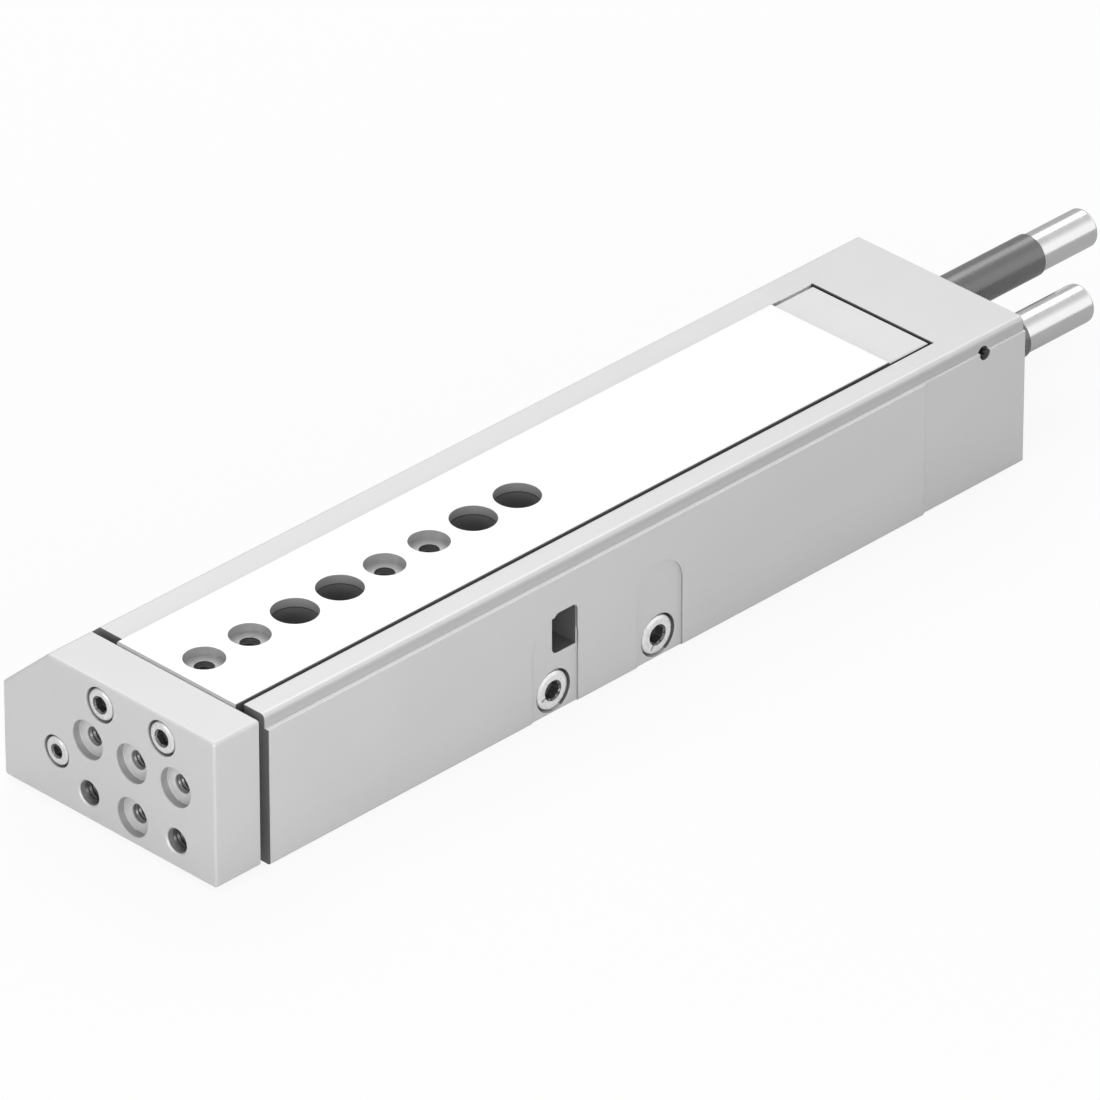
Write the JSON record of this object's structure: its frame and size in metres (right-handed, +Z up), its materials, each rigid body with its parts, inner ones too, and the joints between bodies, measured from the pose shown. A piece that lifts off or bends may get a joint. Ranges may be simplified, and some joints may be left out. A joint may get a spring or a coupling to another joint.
{
  "type": "pneumatic slide table",
  "caption": "Flat pneumatic slide table: a ball-guided table and front yoke driven along a body by a cylinder beside the guide, with two adjustable rear end stops.",
  "frame": {"origin": "centre of the body's underside", "axes": "+X towards the side with the two clamp screws, +Y to the rear, where the stops come out, +Z up"},
  "size_m": [0.0492, 0.2297, 0.028],
  "materials": {
    "anodised_body": "clear anodised, satin",
    "anodised_cap": "clear anodised, satin",
    "anodised_yoke": "clear anodised, satin",
    "anodised_tail": "clear anodised, satin",
    "ground_steel": "ground bright",
    "bright_screw": "bright, turned",
    "dark_screw": "blackened",
    "hardened_steel": "ground",
    "machined_steel": "milled",
    "bronze": "sintered",
    "seal_rubber": "moulded",
    "bright_stop": "polished",
    "black_sleeve": "black oxide, satin",
    "chromed_rod": "polished",
    "piston_alloy": "turned",
    "magnet": "bonded ferrite",
    "cage_plastic": "moulded"
  },
  "bodies": {
    "housing": {"housing_block": "anodised_body", "rear_cap": "anodised_cap", "cap_screws": "bright_screw", "port_plugs": "dark_screw", "side_plug": "dark_screw", "raceway_left": "hardened_steel", "raceway_right": "hardened_steel", "rod_bush": "bronze", "rod_seal": "seal_rubber", "end_buffers": "seal_rubber", "stop_block": "machined_steel", "block_screws": "bright_screw", "stop_rod": "bright_stop", "stop_nut": "machined_steel", "stop_buffer": "seal_rubber", "extend_sleeve": "black_sleeve", "retract_sleeve": "black_sleeve", "absorber_body": "bright_stop"},
    "plunger": {"absorber_plunger": "hardened_steel"},
    "table": {"table_plate": "ground_steel", "tail_plate": "anodised_tail", "tail_screws": "bright_screw", "yoke_plate": "anodised_yoke", "yoke_screws": "bright_screw", "rod_screw": "bright_screw", "piston_rod": "chromed_rod", "piston": "piston_alloy", "piston_seals": "seal_rubber", "piston_magnet": "magnet"},
    "ball_cages": {"ball_cage_left": "cage_plastic", "ball_cage_right": "cage_plastic", "balls_left": "hardened_steel", "balls_right": "hardened_steel"}
  },
  "joints": [
    {"name": "table_stroke", "type": "slide", "parent": "housing", "child": "table", "axis": [0, -1, 0], "range_m": [0, 0.08]},
    {"name": "cage_travel", "type": "slide", "parent": "housing", "child": "ball_cages", "axis": [0, -1, 0], "range_m": [0, 0.04]},
    {"name": "plunger_press", "type": "slide", "parent": "housing", "child": "plunger", "axis": [0, 1, 0], "range_m": [0, 0.0044], "stiffness_N_per_m": 150}
  ],
  "couplings": [
    {"joint": "cage_travel", "follows": "table_stroke", "ratio": 0.5}
  ]
}
